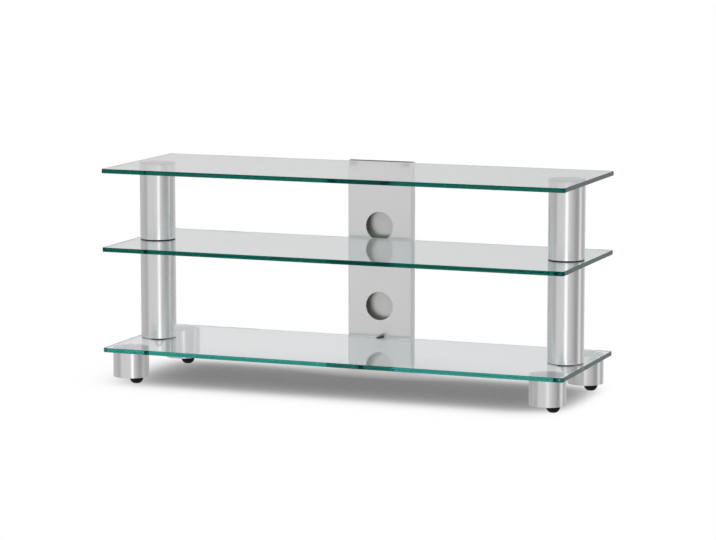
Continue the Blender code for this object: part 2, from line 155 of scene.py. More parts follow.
def drawChain(name, points):  # one vertex, extruded from point to point
    deselectAll()
    bpy.ops.mesh.primitive_plane_add(size=modelling["seed"], location=points[0])
    applyPlace()
    piece = named(name)
    editMode()
    bpy.ops.mesh.select_mode(type="VERT")
    bpy.ops.mesh.select_all(action="SELECT")
    bpy.ops.mesh.merge(type="CENTER")
    for here, there in zip(points, points[1:]):
        step = [b - a for a, b in zip(here, there)]
        bpy.ops.mesh.extrude_vertices_move(TRANSFORM_OT_translate={"value": step})
    return piece


def closeChain(piece, points):
    ends = (points[0], points[-1])
    pick(piece, "VERT", lambda v: any((v.co - Vector(e)).length < modelling["mergeGap"] for e in ends))
    bpy.ops.mesh.edge_face_add()


def turnPiece(name, axis, profile, steps):  # (radius, height) points spun round an upright axis
    x, y = axis
    points = [(x + radius, y, height) for radius, height in profile]
    piece = drawChain(name, points)
    if min(radius for radius, height in profile) > 0:
        closeChain(piece, points)
    bpy.ops.mesh.select_all(action="SELECT")
    bpy.ops.mesh.spin(steps=steps, angle=2 * math.pi, center=(x, y, 0), axis=(0, 0, 1))
    cleanUp()
    objectMode()
    return piece


def quarterAngles(steps):  # from 0 to a right angle
    return [math.pi / 2 * i / steps for i in range(steps + 1)]


def copyPiece(piece, name, shift):  # each copy has its own mesh, with its place in it
    makeActive(piece)
    bpy.ops.object.duplicate(linked=False)
    twin = named(name)
    bpy.ops.transform.translate(value=shift)
    applyPlace()
    return twin


def axisOf(node):
    low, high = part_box(node)
    return (low.x + high.x) / 2, (low.y + high.y) / 2


def shiftBetween(fromNode, toNode):
    low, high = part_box(fromNode)
    toLow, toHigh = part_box(toNode)
    return (toLow + toHigh - low - high) / 2


def settle(piece, node, material, body="stand"):
    piece.data.materials.clear()
    piece.data.materials.append(material)
    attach(piece, body)
    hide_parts(node)
    return piece


# Small helpers for shading
noiseSpan = (0.3, 0.7)  # where most of a noise lies


def newMaterial(name):
    material = bpy.data.materials.new(name)
    material.use_nodes = True
    return material, material.node_tree, material.node_tree.nodes["Principled BSDF"]


def grey(level):
    return (level, level, level, 1)


def feed(tree, socket, value):  # another node's output, or a fixed number or colour
    if isinstance(value, bpy.types.NodeSocket):
        tree.links.new(value, socket)
    else:
        socket.default_value = value


def calculate(tree, operation, *values, kind="Math", output="Value"):
    node = tree.nodes.new("ShaderNode" + kind)
    node.operation = operation
    for socket, value in zip(node.inputs, values):
        feed(tree, socket, value)
    return node.outputs[output]


def blend(tree, factor, first, second, how="MIX"):
    mix = tree.nodes.new("ShaderNodeMix")
    mix.data_type = "RGBA"
    mix.blend_type = how
    for key, value in (("Factor", factor), ("A", first), ("B", second)):
        feed(tree, mix.inputs[key], value)
    return mix.outputs["Result"]


def objectPlace(tree):  # place in the frame's metres
    return tree.nodes.new("ShaderNodeTexCoord").outputs["Object"]


def axesOf(tree, vector):
    split = tree.nodes.new("ShaderNodeSeparateXYZ")
    tree.links.new(vector, split.inputs["Vector"])
    return split.outputs


def noiseOn(tree, scale, detail, stretch=(1, 1, 1)):
    mapping = tree.nodes.new("ShaderNodeMapping")
    mapping.inputs["Scale"].default_value = stretch
    noise = tree.nodes.new("ShaderNodeTexNoise")
    noise.inputs["Scale"].default_value = scale
    noise.inputs["Detail"].default_value = detail
    tree.links.new(objectPlace(tree), mapping.inputs["Vector"])
    tree.links.new(mapping.outputs["Vector"], noise.inputs["Vector"])
    return noise.outputs["Fac"]


def between(tree, source, low, high, sourceLow=noiseSpan[0], sourceHigh=noiseSpan[1]):
    span = tree.nodes.new("ShaderNodeMapRange")
    span.inputs["From Min"].default_value = sourceLow
    span.inputs["From Max"].default_value = sourceHigh
    span.inputs["To Min"].default_value = low
    span.inputs["To Max"].default_value = high
    tree.links.new(source, span.inputs["Value"])
    return span.outputs["Result"]


def rampOn(tree, source, stops):  # a colour ramp with these stops
    ramp = tree.nodes.new("ShaderNodeValToRGB")
    while len(ramp.color_ramp.elements) < len(stops):
        ramp.color_ramp.elements.new(1.0)
    for element, (place, colour) in zip(ramp.color_ramp.elements, stops):
        element.position = place
        element.color = (*colour[:3], 1)
    tree.links.new(source, ramp.inputs["Fac"])
    return ramp.outputs["Color"]


def twoTones(tree, source, dark, light):
    return rampOn(tree, source, [(noiseSpan[0], dark), (noiseSpan[1], light)])


def bumpOn(tree, shader, source, strength, distance):
    bump = tree.nodes.new("ShaderNodeBump")
    bump.inputs["Strength"].default_value = strength
    bump.inputs["Distance"].default_value = distance
    tree.links.new(source, bump.inputs["Height"])
    tree.links.new(bump.outputs["Normal"], shader.inputs["Normal"])


# Finishes: tones and roughness from low to high, noises as scale and detail, bumps as strength and depth
pane = {"cornerRadius": 0.006, "cornerSteps": 8, "arris": 0.001, "arrisSteps": 3, "flatFrom": 0.9999,
        "rodHole": 0.007, "holeZone": 0.00735, "holeSteps": 64, "holeChamfer": 0.0006}
floatGlass = {"ior": 1.52, "mirrorTint": (0.0, 0.9, 0.78, 1), "smear": (9, 5), "smearRough": 0.012,
              "groundWall": 0.5}
upperTint = {"density": 12.0, "colour": (0.0, 0.533, 0.46, 1)}
bottomTint = {"density": 8.0, "colour": (0.0, 0.65, 0.59, 1)}
drawnTube = {"lines": (1, 4), "stretch": (900, 900, 5), "cloud": (14, 3), "rough": (0.2, 0.25),
             "tones": ((0.74, 0.735, 0.74), (0.82, 0.815, 0.82)), "bump": (0.12, 0.00004)}
powderCoat = {"flake": (2600, 2), "peel": (420, 2), "metallic": 0.25, "rough": (0.38, 0.5),
              "bump": (0.15, 0.0001)}
silverTones = ((0.553, 0.538, 0.547), (0.664, 0.646, 0.656))
# the cover is the duct's silver paint, painted darker as painted shade for the inside of the duct
paintedShadeCoverTones = ((0.47, 0.465, 0.455), (0.57, 0.565, 0.555))
# painted shade where glass stands close: how far the occlusion looks, how dark it makes the paint, and over
# what range
paintedContactShade = {"reach": 0.008, "depth": 0.72, "fullAt": 0.6, "goneAt": 0.95}
zincSteel = {"noise": (160, 4), "tones": ((0.56, 0.57, 0.58), (0.68, 0.68, 0.67)), "rough": (0.25, 0.4),
             "relief": (1500, 2), "bump": (0.1, 0.00005), "fixed": {"Metallic": 1}}
blackOxide = {"noise": (220, 4), "tones": ((0.018, 0.018, 0.019), (0.035, 0.034, 0.033)),
              "rough": (0.32, 0.48), "bump": (0.1, 0.0001), "fixed": {"Metallic": 0.7}}
blackRubber = {"noise": (1800, 3), "tones": ((0.04, 0.039, 0.039), (0.065, 0.063, 0.062)),
               "rough": (0.6, 0.8), "bump": (0.2, 0.0001), "fixed": {}}
blackPlastic = {"noise": (1100, 3), "tones": ((0.004, 0.004, 0.004), (0.008, 0.008, 0.009)),
                "rough": (0.34, 0.46), "bump": (0.12, 0.0001), "fixed": {"Specular IOR Level": 0.1}}
milkyGel = {"noise": (300, 3), "tones": ((0.7, 0.72, 0.71), (0.8, 0.82, 0.81)), "rough": (0.4, 0.55),
            "fixed": {"Transmission Weight": 0.6, "IOR": 1.45}}


def nearRods(tree):  # 1 on the walls of the drilled holes, 0 elsewhere
    x, y = axisOf("right_tie_rod")
    place = axesOf(tree, objectPlace(tree))
    flat = tree.nodes.new("ShaderNodeCombineXYZ")
    tree.links.new(calculate(tree, "ABSOLUTE", place["X"]), flat.inputs["X"])  # the two columns stand alike
    tree.links.new(place["Y"], flat.inputs["Y"])
    away = calculate(tree, "DISTANCE", flat.outputs["Vector"], (x, y, 0), kind="VectorMath")
    return calculate(tree, "LESS_THAN", away, pane["holeZone"])


def clearGlass(name, tint, drilled):  # float glass, tinted by its depth
    material, tree, shader = newMaterial(name)
    shader.inputs["Base Color"].default_value = grey(1)
    shader.inputs["Transmission Weight"].default_value = 1
    shader.inputs["IOR"].default_value = floatGlass["ior"]
    shader.inputs["Specular Tint"].default_value = floatGlass["mirrorTint"]
    rough = between(tree, noiseOn(tree, *floatGlass["smear"]), 0.0, floatGlass["smearRough"])
    if drilled:
        ground = between(tree, nearRods(tree), 0.0, floatGlass["groundWall"], 0.0, 1.0)
        rough = calculate(tree, "MAXIMUM", rough, ground)
    tree.links.new(rough, shader.inputs["Roughness"])
    absorb = tree.nodes.new("ShaderNodeVolumeAbsorption")
    absorb.inputs["Color"].default_value = tint["colour"]
    absorb.inputs["Density"].default_value = tint["density"]
    tree.links.new(absorb.outputs["Volume"], tree.nodes["Material Output"].inputs["Volume"])
    return material


def satinAluminium():  # anodised, with fine lines drawn along the tube
    material, tree, shader = newMaterial("satinAluminium")
    lines = noiseOn(tree, *drawnTube["lines"], drawnTube["stretch"])
    cloud = noiseOn(tree, *drawnTube["cloud"])
    shader.inputs["Metallic"].default_value = 1
    tree.links.new(twoTones(tree, lines, *drawnTube["tones"]), shader.inputs["Base Color"])
    tree.links.new(between(tree, cloud, *drawnTube["rough"]), shader.inputs["Roughness"])
    bumpOn(tree, shader, lines, *drawnTube["bump"])
    return material


def flakePaint(name, tones):  # powder coat with fine metal flake, with painted shade where glass stands close
    material, tree, shader = newMaterial(name)
    flake = noiseOn(tree, *powderCoat["flake"])
    peel = noiseOn(tree, *powderCoat["peel"])
    # painted shade: occlusion darkens the paint's colour where glass stands close
    near = tree.nodes.new("ShaderNodeAmbientOcclusion")
    near.inputs["Distance"].default_value = paintedContactShade["reach"]
    paintedShadeFactor = between(tree, near.outputs["AO"], paintedContactShade["depth"], 1.0, paintedContactShade["fullAt"], paintedContactShade["goneAt"])
    colour = blend(tree, 1, twoTones(tree, flake, *tones), paintedShadeFactor, "MULTIPLY")
    shader.inputs["Metallic"].default_value = powderCoat["metallic"]
    tree.links.new(colour, shader.inputs["Base Color"])
    tree.links.new(between(tree, flake, *powderCoat["rough"]), shader.inputs["Roughness"])
    bumpOn(tree, shader, peel, *powderCoat["bump"])
    return material


def plainFinish(name, look):  # tone and roughness follow one noise, the bump it or a finer one
    material, tree, shader = newMaterial(name)
    cloud = noiseOn(tree, *look["noise"])
    for socket, value in look["fixed"].items():
        shader.inputs[socket].default_value = value
    tree.links.new(twoTones(tree, cloud, *look["tones"]), shader.inputs["Base Color"])
    tree.links.new(between(tree, cloud, *look["rough"]), shader.inputs["Roughness"])
    if "bump" in look:
        relief = noiseOn(tree, *look["relief"]) if "relief" in look else cloud
        bumpOn(tree, shader, relief, *look["bump"])
    return material


topGlass = clearGlass("topGlass", upperTint, False)
middleGlass = clearGlass("middleGlass", upperTint, True)
bottomGlass = clearGlass("bottomGlass", bottomTint, True)
aluminium = satinAluminium()
paint = flakePaint("silverPaint", silverTones)
# darker copy of the silver paint: painted shade
paintedShadeCoverPaint = flakePaint("paintedShadeCoverPaint", paintedShadeCoverTones)
zinc = plainFinish("zincSteel", zincSteel)
oxide = plainFinish("darkSteel", blackOxide)
rubber = plainFinish("blackRubber", blackRubber)
plastic = plainFinish("blackPlastic", blackPlastic)
padGel = plainFinish("clearPad", milkyGel)
print("finishes made")


# Glass panes
def makePane(name, node, drilled, glass):
    low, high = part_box(node)
    piece = addBlock(name, low, high)
    editMode()
    pick(piece, "EDGE", lambda e: runOf(e, "z") > modelling["mergeGap"])
    bpy.ops.mesh.bevel(offset=pane["cornerRadius"], segments=pane["cornerSteps"], affect="EDGES")
    pick(piece, "EDGE", lambda e: runOf(e, "z") < modelling["mergeGap"])
    bpy.ops.mesh.bevel(offset=pane["arris"], segments=pane["arrisSteps"], affect="EDGES")
    objectMode()
    if drilled:
        middle = (low.z + high.z) / 2
        length = modelling["drillPast"] * (high.z - low.z)
        axes = [axisOf(side + "_tie_rod") for side in columns]
        for x, y in axes:
            cutWith(piece, addDrill((x, y, middle), pane["rodHole"], length, pane["holeSteps"]))
        makeActive(piece)
        editMode()
        pick(piece, "EDGE", lambda e: runOf(e, "z") < modelling["mergeGap"] and any(
            math.dist(e.verts[0].co.xy, axis) < pane["holeZone"] for axis in axes))
        bpy.ops.mesh.bevel(offset=pane["holeChamfer"], segments=1, affect="EDGES")
        objectMode()
    makeActive(piece)
    bpy.ops.object.shade_smooth()
    editMode()
    pick(piece, "FACE", lambda f: max(abs(c) for c in f.normal) > pane["flatFrom"])
    bpy.ops.mesh.faces_shade_flat()  # broad faces stay truly flat
    objectMode()
    return settle(piece, node, glass)


panes = [makePane("topShelf", "top_shelf", False, topGlass),
         makePane("middleShelf", "middle_shelf", True, middleGlass),
         makePane("bottomShelf", "bottom_shelf", True, bottomGlass)]
print("panes made")


# Posts and their gaskets
post = {"wall": 0.003, "steps": 128, "endRound": 0.0005}
gasket = {"wall": 0.0025, "bulge": 0.0004, "steps": 128, "bulgeSteps": 6}


def makeTube(name, node):
    low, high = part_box(node)
    deselectAll()
    bpy.ops.mesh.primitive_cylinder_add(
        vertices=post["steps"], radius=(high.x - low.x) / 2, depth=high.z - low.z, location=(low + high) / 2)
    applyPlace()
    piece = named(name)
    editMode()
    pick(piece, "FACE", lambda f: abs(f.normal.z) > modelling["endFacing"])
    bpy.ops.mesh.inset(thickness=post["wall"])
    bpy.ops.mesh.bridge_edge_loops()  # opens the bore
    cleanUp()
    objectMode()
    return softenEdges(piece, post["endRound"])


def makeGasket(name, node):
    low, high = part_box(node)
    outer = (high.x - low.x) / 2
    inner = outer - gasket["wall"]
    steps = gasket["bulgeSteps"]
    profile = []
    for i in range(steps + 1):  # squeezed rubber swells a little at its side
        share = i / steps
        profile.append((outer - gasket["bulge"] * (2 * share - 1) ** 2, high.z + (low.z - high.z) * share))
    profile += [(inner, low.z), (inner, high.z)]
    return smoothSides(turnPiece(name, axisOf(node), profile, gasket["steps"]))


def settlePair(make, name, leftNode, rightNode, material):  # the right one is a copy of the left one
    piece = make(name + "Left", leftNode)
    twin = copyPiece(piece, name + "Right", shiftBetween(leftNode, rightNode))
    settle(piece, leftNode, material)
    settle(twin, rightNode, material)


for level in ("upper", "lower"):
    leftNode, rightNode = ["%s_%s_post" % (side, level) for side in columns]
    settlePair(makeTube, "%sPost" % level, leftNode, rightNode, aluminium)
    for end in ("top", "bottom"):
        leftRing, rightRing = [n + "_%s_gasket" % end for n in (leftNode, rightNode)]
        name = "%sPost%sGasket" % (level, end.title())
        settlePair(makeGasket, name, leftRing, rightRing, rubber)
print("posts made")


# What the columns hold inside and below
disc = {"thickness": 0.005, "boss": 0.012, "bore": 0.0053, "depth": 0.0183, "edgeRound": 0.0006, "steps": 96}
plug = {"bore": 0.0053, "edgeRound": 0.0008, "steps": 96}
rod = {"endChamfer": 0.001, "steps": 48}
washer = {"bore": 0.0053, "edgeRound": 0.0004, "steps": 96}
nut = {"sides": 6, "hexHeight": 0.0085, "chamfer": 0.0012, "chamferDegrees": 30, "domeRadius": 0.0076,
       "domeOverlap": 0.001, "domeSteps": 12, "threadRadius": 0.0053, "threadDepth": 0.012, "threadSteps": 48,
       "steps": 72, "edgeRound": 0.0003}


def makeBonded(name, node, look):  # disc under the glass, with a drilled boss below it
    low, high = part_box(node)
    radius = (high.x - low.x) / 2
    under = high.z - look["thickness"]
    boss, bore = look["boss"], look["bore"]
    depth = low.z + look["depth"]
    profile = [(0, high.z), (radius, high.z), (radius, under), (boss, under), (boss, low.z),
               (bore, low.z), (bore, depth), (0, depth)]
    piece = turnPiece(name, axisOf(node), profile, look["steps"])
    return softenEdges(piece, look["edgeRound"])


def makeRing(name, node, look):  # plain ring with rounded edges
    low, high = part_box(node)
    radius = (high.x - low.x) / 2
    profile = [(radius, high.z), (radius, low.z), (look["bore"], low.z), (look["bore"], high.z)]
    piece = turnPiece(name, axisOf(node), profile, look["steps"])
    return softenEdges(piece, look["edgeRound"])


def makeRod(name, node, look):
    low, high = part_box(node)
    radius, chamfer = (high.x - low.x) / 2, look["endChamfer"]
    profile = [(0, high.z), (radius - chamfer, high.z), (radius, high.z - chamfer),
               (radius, low.z + chamfer), (radius - chamfer, low.z), (0, low.z)]
    return smoothSides(turnPiece(name, axisOf(node), profile, look["steps"]))


def makeCapNut(name, node, look):  # chamfered hexagon over a closed dome
    low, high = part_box(node)
    x, y = axisOf(node)
    corner = max(high.x - low.x, high.y - low.y) / 2
    hexLow = high.z - look["hexHeight"]
    piece = addDrill((x, y, (high.z + hexLow) / 2), corner, look["hexHeight"], look["sides"])
    piece.name = piece.data.name = name
    chamfer = look["chamfer"]
    fall = chamfer * math.tan(math.radians(look["chamferDegrees"]))
    profile = [(0, high.z), (corner - chamfer, high.z), (corner, high.z - fall),
               (corner, hexLow + fall), (corner - chamfer, hexLow), (0, hexLow)]
    cutWith(piece, turnPiece("nutEnvelope", (x, y), profile, look["steps"]), "INTERSECT")
    radius, inside = look["domeRadius"], hexLow + look["domeOverlap"]
    dome = [(0, inside), (radius, inside)]
    for angle in quarterAngles(look["domeSteps"]):
        dome.append((radius * math.cos(angle), hexLow + (low.z - hexLow) * math.sin(angle)))
    dome[-1] = (0, low.z)
    cutWith(piece, turnPiece("nutDome", (x, y), dome, look["steps"]), "UNION")
    length = 2 * look["threadDepth"]
    cutWith(piece, addDrill((x, y, high.z), look["threadRadius"], length, look["threadSteps"]))
    return softenEdges(piece, look["edgeRound"])


columnPieces = [
    ("topDisc", "top_disc", makeBonded, disc, zinc, "zinc_steel"),
    ("upperPlug", "upper_post_bottom_plug", makeRing, plug, plastic, "black_plastic"),
    ("middlePlug", "lower_post_top_plug", makeRing, plug, plastic, "black_plastic"),
    ("lowerPlug", "lower_post_bottom_plug", makeRing, plug, plastic, "black_plastic"),
    ("tieRod", "tie_rod", makeRod, rod, zinc, "zinc_steel"),
    ("rubberWasher", "rubber_washer", makeRing, washer, rubber, "black_rubber"),
    ("steelWasher", "steel_washer", makeRing, washer, zinc, "zinc_steel"),
    ("capNut", "cap_nut", makeCapNut, nut, zinc, "zinc_steel"),
]
for name, ending, make, look, material, slot in columnPieces:
    leftNode, rightNode = ["%s_%s" % (side, ending) for side in columns]
    settlePair(lambda n, node: make(n, node, look), name, leftNode, rightNode, material)
print("column fixings made")


# Feet
plate = {"thickness": 0.004, "boss": 0.010, "bore": 0.0043, "depth": 0.0143, "edgeRound": 0.0006, "steps": 96}
sleeve = {"wall": 0.003, "ledge": 0.004, "ledgeReach": 0.009, "ledgeGap": 0.0003, "endRound": 0.0005,
          "steps": 128}
hub = {"headRadius": 0.0068, "headDepth": 0.0083, "shankRadius": 0.0043, "studHole": 0.0043, "holeSteps": 48,
       "edgeRound": 0.0006, "steps": 96}
footScrew = {"headRadius": 0.0065, "headHeight": 0.008, "socketSides": 6, "socketFlats": 0.006,
             "socketDepth": 0.004, "shankRadius": 0.004, "shankLength": 0.0115, "tipTaper": 0.0007,
             "threadFrom": 0.012, "threadTo": 0.0005, "pitch": 0.00125, "threadDepth": 0.0006,
             "sharpDegrees": 30, "steps": 48}
glide = {"hubGap": 0.0003, "rim": 0.003, "rimRound": 0.0008, "rimSteps": 4, "tipRadius": 0.0045,
         "domeSteps": 18, "shankRadius": 0.004, "tipTaper": 0.0008, "threadFrom": 0.001, "threadTo": 0.0006,
         "pitch": 0.00125, "threadDepth": 0.0006, "sharpDegrees": 35, "steps": 96}


def threadPoints(look, low, high):  # ridges and grooves of a stud, from its top down
    turns = int((high - low) / look["pitch"])
    crest, root = look["shankRadius"], look["shankRadius"] - look["threadDepth"]
    points = []
    for i in range(turns):
        points.append((crest, high - i * look["pitch"]))
        points.append((root, high - (i + 0.5) * look["pitch"]))
    return points


def makeSleeve(name, node, hubNode):
    low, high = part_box(node)
    radius = (high.x - low.x) / 2
    bore = radius - sleeve["wall"]
    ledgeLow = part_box(hubNode)[1].z + sleeve["ledgeGap"]
    ledgeHigh = ledgeLow + sleeve["ledge"]
    reach = bore - sleeve["ledgeReach"]
    profile = [(radius, high.z), (radius, low.z), (bore, low.z), (bore, ledgeLow), (reach, ledgeLow),
               (reach, ledgeHigh), (bore, ledgeHigh), (bore, high.z)]
    piece = turnPiece(name, axisOf(node), profile, sleeve["steps"])
    return softenEdges(piece, sleeve["endRound"])


def makeHub(name, node, glideNode):
    low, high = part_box(node)
    radius = (high.x - low.x) / 2
    step = low.z + hub["headDepth"]
    profile = [(radius, high.z), (radius, low.z), (hub["headRadius"], low.z), (hub["headRadius"], step),
               (hub["shankRadius"], step), (hub["shankRadius"], high.z)]
    piece = turnPiece(name, axisOf(node), profile, hub["steps"])
    x, y = axisOf(glideNode)
    length = modelling["drillPast"] * (high.z - low.z)
    cutWith(piece, addDrill((x, y, (low.z + high.z) / 2), hub["studHole"], length, hub["holeSteps"]))
    return softenEdges(piece, hub["edgeRound"])


def makeFootScrew(name, node):  # socket head, driven from below
    low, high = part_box(node)
    head, shank = footScrew["headRadius"], footScrew["shankRadius"]
    headTop = low.z + footScrew["headHeight"]
    profile = [(0, high.z), (shank - footScrew["tipTaper"], high.z)]
    profile += threadPoints(footScrew, headTop + footScrew["threadFrom"], high.z - footScrew["threadTo"])
    profile += [(shank, headTop + footScrew["shankLength"]), (shank, headTop),
                (head, headTop), (head, low.z), (0, low.z)]
    piece = turnPiece(name, axisOf(node), profile, footScrew["steps"])
    x, y = axisOf(node)
    corner = footScrew["socketFlats"] / 2 / math.cos(math.pi / footScrew["socketSides"])
    cutWith(piece, addDrill((x, y, low.z), corner, 2 * footScrew["socketDepth"], footScrew["socketSides"]))
    return smoothSides(piece, footScrew["sharpDegrees"])


def makeGlide(name, node, hubNode):  # threaded stud, rim and dome with a flat tip
    low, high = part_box(node)
    radius = (high.y - low.y) / 2
    shank, tip, rimRound = glide["shankRadius"], glide["tipRadius"], glide["rimRound"]
    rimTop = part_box(hubNode)[0].z - glide["hubGap"]
    domeTop = rimTop - glide["rim"]
    profile = [(0, high.z), (shank - glide["tipTaper"], high.z)]
    profile += threadPoints(glide, rimTop + glide["threadFrom"], high.z - glide["threadTo"])
    profile += [(shank - glide["threadDepth"], rimTop), (radius - rimRound, rimTop)]
    for angle in quarterAngles(glide["rimSteps"])[1:]:
        profile.append((radius - rimRound * (1 - math.sin(angle)), rimTop - rimRound * (1 - math.cos(angle))))
    for angle in quarterAngles(glide["domeSteps"]):
        profile.append((tip + (radius - tip) * math.cos(angle), domeTop * (1 - math.sin(angle))))
    profile.append((0, low.z))
    piece = turnPiece(name, axisOf(node), profile, glide["steps"])
    return smoothSides(piece, glide["sharpDegrees"])


footPieces = [
    ("footSleeve", "foot_sleeve", lambda n, c: makeSleeve(n, c + "_foot_sleeve", c + "_foot_hub"),
     aluminium, "satin_aluminium"),
    ("footPlate", "foot_plate", lambda n, c: makeBonded(n, c + "_foot_plate", plate), zinc, "zinc_steel"),
    ("footHub", "foot_hub", lambda n, c: makeHub(n, c + "_foot_hub", c + "_glide"), plastic, "black_plastic"),
    ("footScrew", "foot_screw", lambda n, c: makeFootScrew(n, c + "_foot_screw"), zinc, "zinc_steel"),
    ("glide", "glide", lambda n, c: makeGlide(n, c + "_glide", c + "_foot_hub"), plastic, "black_plastic"),
]
for name, ending, make, material, slot in footPieces:
    nodes = ["%s_%s" % (corner, ending) for corner in corners]
    titles = [name + corner.title().replace("_", "") for corner in corners]
    made = [make(titles[0], corners[0])]
    for node, title in zip(nodes[1:], titles[1:]):
        made.append(copyPiece(made[0], title, shiftBetween(nodes[0], node)))
    for piece, node, corner in zip(made, nodes, corners):
        body = corner + "_glide" if ending == "glide" else "stand"
        piece.visible_shadow = False  # the floor's painted soft shadow comes from the panes
        settle(piece, node, material, body)
print("feet made")


# Cable duct, its cover and what holds them
duct = {"wall": 0.0015, "frontRadius": 0.007, "rearRadius": 0.0025, "lip": 0.010, "groove": 0.0021,
        "cornerSteps": 6, "holeRadius": 0.0335, "holeSteps": 96, "screwHole": 0.0023, "screwReach": 0.009,
        "screwSteps": 32, "slotWidth": 0.0025, "slotLength": 0.011, "slotDrop": 0.022, "edgeRound": 0.0003}
cover = {"cornerRadius": 0.003, "cornerSteps": 6, "edgeRound": 0.0003}
strip = {"cornerRadius": 0, "edgeRound": 0.0004}
clip = {"thickness": 0.0012, "bendRadius": 0.0012, "bendSteps": 5, "edgeRound": 0.0002, "screwHole": 0.0023,
        "screwReach": 0.0072, "screwSteps": 32}
clipScrew = {"headRadius": 0.004, "headHeight": 0.002, "rimShare": 0.6, "headSteps": 6, "shankRadius": 0.002,
             "tipTaper": 0.0004, "threadFrom": 0.0002, "threadTo": 0.0003, "pitch": 0.0007,
             "threadDepth": 0.0003, "slotLength": 0.0046, "slotWidth": 0.0009, "slotDepth": 0.0011,
             "sharpDegrees": 30, "steps": 48}


def quarterArc(centreX, centreY, radius, startDegrees):
    points = []
    for i in range(duct["cornerSteps"] + 1):
        angle = math.radians(startDegrees + 90 * i / duct["cornerSteps"])
        points.append((centreX + radius * math.cos(angle), centreY + radius * math.sin(angle)))
    return points


def ductOutline(half, depth):  # right half of the section, round the outside and back along the inside
    inner = half - duct["wall"]
    lip = half - duct["lip"]
    lipInside = depth - duct["wall"]
    ribRear = lipInside - duct["groove"]
    ribFront = ribRear - duct["wall"]
    front, rear = duct["frontRadius"], duct["rearRadius"]
    outline = quarterArc(half - front, front, front, 270) + quarterArc(half - rear, depth - rear, rear, 0)
    outline += [(lip, depth), (lip, lipInside), (inner, lipInside), (inner, ribRear),
                (lip, ribRear), (lip, ribFront), (inner, ribFront)]
    return outline + quarterArc(half - front, front, front - duct["wall"], 270)[::-1]


def makeDuct():
    low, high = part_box("cable_duct")
    middle = (low.x + high.x) / 2
    depth = high.y - low.y
    right = ductOutline((high.x - low.x) / 2, depth)
    outline = right + [(-x, y) for x, y in reversed(right)]
    points = [(middle + x, low.y + y, low.z) for x, y in outline]
    piece = drawChain("cableDuct", points)
    closeChain(piece, points)
    bpy.ops.mesh.select_all(action="SELECT")
    bpy.ops.mesh.edge_face_add()
    bpy.ops.mesh.extrude_region_move(TRANSFORM_OT_translate={"value": (0, 0, high.z - low.z)})
    cleanUp()
    objectMode()
    for level in ("upper_cable_hole", "lower_cable_hole"):
        boxLow, boxHigh = openings[level]
        centre = (middle, low.y, (boxLow[2] + boxHigh[2]) / 2)
        cutWith(piece, addDrill(centre, duct["holeRadius"], depth, duct["holeSteps"], True))
    clipLow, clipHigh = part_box("duct_clip")
    centre = ((clipLow.x + clipHigh.x) / 2, low.y, (clipLow.z + clipHigh.z) / 2)
    cutWith(piece, addDrill(centre, duct["screwHole"], duct["screwReach"], duct["screwSteps"], True))
    half, reach = duct["slotWidth"] / 2, duct["slotLength"] / 2
    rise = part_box("bottom_shelf")[0].z - duct["slotDrop"]
    cutWith(piece, addBlock("tieSlot", (middle - half, low.y - duct["wall"], rise - reach),
                            (middle + half, low.y + 2 * duct["wall"], rise + reach)))
    softenEdges(piece, duct["edgeRound"])
    settle(piece, "cable_duct", paint)


def makePlate(name, node, look, material, body="stand"):
    low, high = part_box(node)
    piece = addBlock(name, low, high)
    if look["cornerRadius"]:
        editMode()
        pick(piece, "EDGE", lambda e: runOf(e, "y") > modelling["mergeGap"])
        bpy.ops.mesh.bevel(offset=look["cornerRadius"], segments=look["cornerSteps"], affect="EDGES")
        objectMode()
    softenEdges(piece, look["edgeRound"])
    settle(piece, node, material, body)


def makeClip():  # strip bent round the pane's rear edge
    low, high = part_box("duct_clip")
    half = clip["thickness"] / 2
    top, bottom, web, bend = high.z - half, low.z + half, high.y - half, clip["bendRadius"]
    path = [(low.y, top)]
    for angle in reversed(quarterAngles(clip["bendSteps"])):
        path.append((web - bend + bend * math.cos(angle), top - bend + bend * math.sin(angle)))
    path += [(y, top + bottom - z) for y, z in reversed(path)]
    points = [(low.x, y, z) for y, z in path]
    piece = drawChain("ductClip", points)
    bpy.ops.mesh.select_all(action="SELECT")
    bpy.ops.mesh.extrude_region_move(TRANSFORM_OT_translate={"value": (high.x - low.x, 0, 0)})
    cleanUp()
    objectMode()
    makeActive(piece)
    solid = piece.modifiers.new("thickness", "SOLIDIFY")
    solid.thickness = clip["thickness"]
    solid.offset = 0
    bpy.ops.object.modifier_apply(modifier=solid.name)
    centre = ((low.x + high.x) / 2, web, (low.z + high.z) / 2)
    cutWith(piece, addDrill(centre, clip["screwHole"], clip["screwReach"], clip["screwSteps"], True))
    softenEdges(piece, clip["edgeRound"])
    settle(piece, "duct_clip", oxide)


def makeClipScrew():  # pan head with a cross recess, seen inside the duct
    low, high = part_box("clip_screw")
    length = high.y - low.y
    head, headTop, shank = clipScrew["headRadius"], clipScrew["headHeight"], clipScrew["shankRadius"]
    rim = headTop * clipScrew["rimShare"]
    profile = [(0, length), (shank - clipScrew["tipTaper"], length)]
    profile += threadPoints(clipScrew, headTop + clipScrew["threadFrom"], length - clipScrew["threadTo"])
    profile += [(shank, headTop), (head, headTop), (head, rim)]
    for angle in quarterAngles(clipScrew["headSteps"])[1:]:
        profile.append((head * math.cos(angle), rim * (1 - math.sin(angle))))
    profile[-1] = (0, 0)
    piece = turnPiece("clipScrew", (0, 0), profile, clipScrew["steps"])
    halves = [clipScrew["slotLength"] / 2, clipScrew["slotWidth"] / 2]
    deep = clipScrew["slotDepth"]
    for x, y in (halves, halves[::-1]):
        cutWith(piece, addBlock("slot", (-x, -y, -deep), (x, y, deep)))
    makeActive(piece)
    piece.rotation_euler = (math.pi / 2, 0, 0)
    piece.location = ((low.x + high.x) / 2, high.y, (low.z + high.z) / 2)
    applyPlace()
    smoothSides(piece, clipScrew["sharpDegrees"])
    settle(piece, "clip_screw", oxide)


makeDuct()
